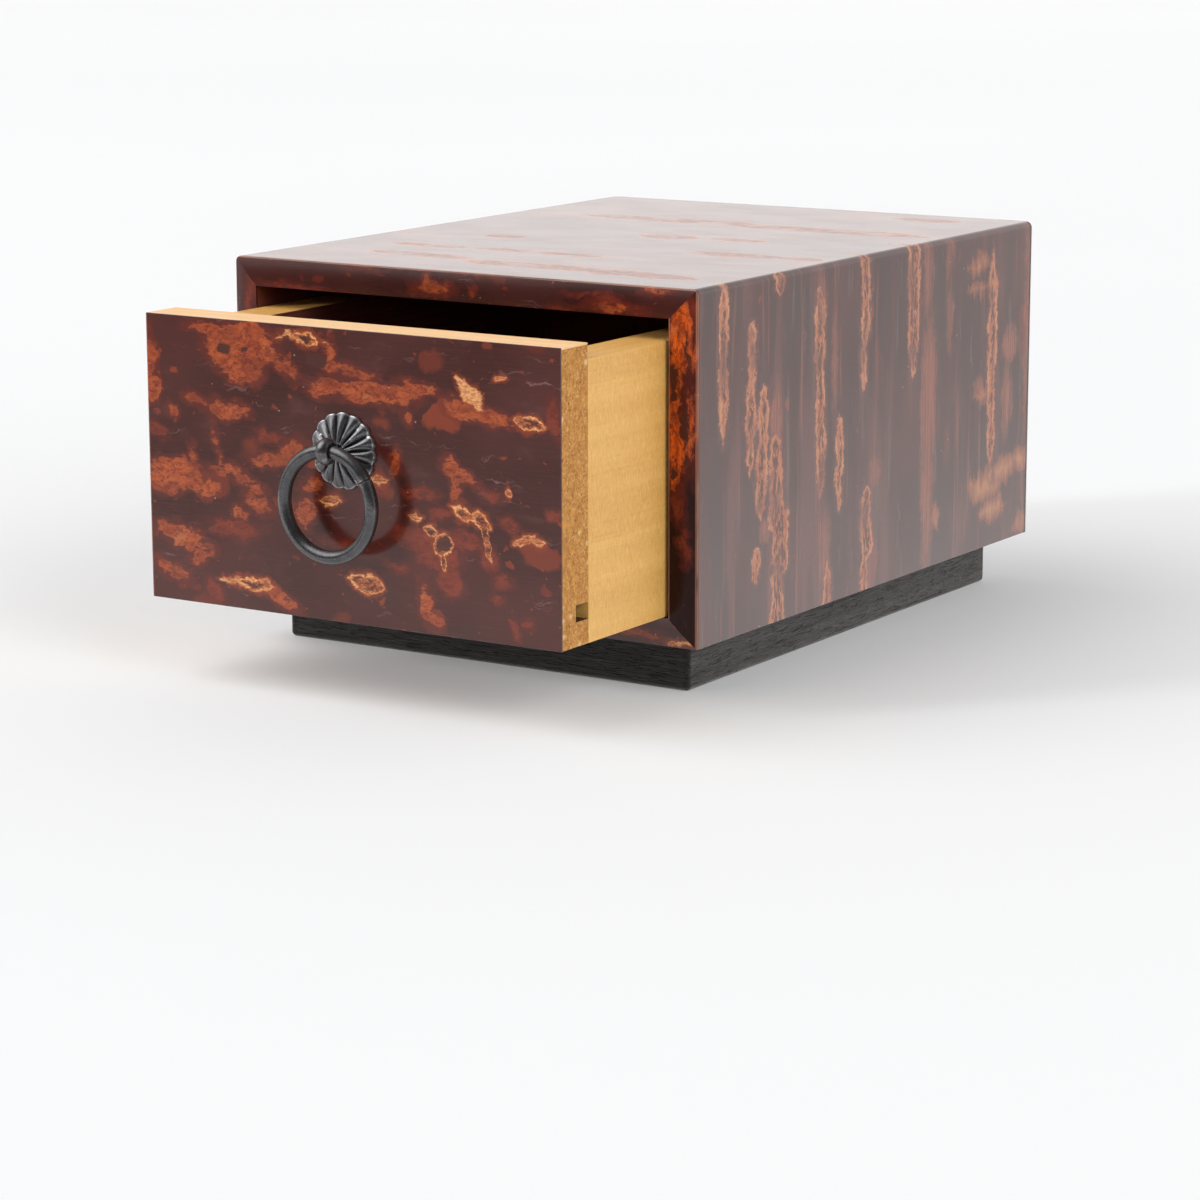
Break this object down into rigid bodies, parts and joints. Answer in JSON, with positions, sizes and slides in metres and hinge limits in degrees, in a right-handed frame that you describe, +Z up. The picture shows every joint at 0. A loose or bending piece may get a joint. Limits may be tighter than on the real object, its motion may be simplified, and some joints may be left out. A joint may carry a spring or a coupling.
{
  "type": "one-drawer tea box",
  "caption": "Small cherry-bark covered wooden tea box on a black plinth, with a drawer that pulls out by an iron ring on a fluted rosette.",
  "frame": {"origin": "on the surface that the box stands on, in the middle of its whole outline, with the drawer partly open and the ring hanging", "axes": "+X to the right along the drawer front, +Y from the drawer front towards the back, +Z up"},
  "size_m": [0.1042, 0.1786, 0.076],
  "materials": {
    "cherry_bark": "polished cherry bark, dark red-brown with orange patches and fine lenticel lines",
    "stained_board": "dark stained softwood, matt",
    "black_wood": "black stained open-grained wood, satin",
    "particle_board": "raw particle board edge, matt",
    "pale_edging": "smooth pale edging strip, satin",
    "drawer_wood": "plain pale wood, matt",
    "black_iron": "dark grey-green patinated iron, semi-gloss"
  },
  "bodies": {
    "casing": {"casing_top_board": "stained_board", "casing_bottom_board": "stained_board", "casing_left_board": "stained_board", "casing_right_board": "stained_board", "casing_back_board": "stained_board", "casing_bark_wrap": "cherry_bark", "casing_bark_back": "cherry_bark", "frame_bark_top": "cherry_bark", "frame_bark_right": "cherry_bark", "frame_bark_bottom": "cherry_bark", "frame_bark_left": "cherry_bark", "plinth_front": "black_wood", "plinth_back": "black_wood", "plinth_left": "black_wood", "plinth_right": "black_wood"},
    "drawer": {"drawer_front_board": "particle_board", "drawer_front_bark": "cherry_bark", "drawer_front_edging": "pale_edging", "drawer_left_side": "drawer_wood", "drawer_right_side": "drawer_wood", "drawer_back_board": "drawer_wood", "drawer_bottom": "drawer_wood", "pull_rosette": "black_iron", "pull_eye": "black_iron"},
    "ring": {"pull_ring": "black_iron"}
  },
  "joints": [
    {"name": "drawer_slide", "type": "slide", "parent": "casing", "child": "drawer", "axis": [0, -1, 0], "range_m": [-0.0349, 0.1002]},
    {"name": "ring_swing", "type": "hinge", "parent": "drawer", "child": "ring", "pos_m": [-0.0006, -0.0868, 0.04792], "axis": [-1, 0, 0], "range_deg": [-11.5, 191.5]}
  ]
}
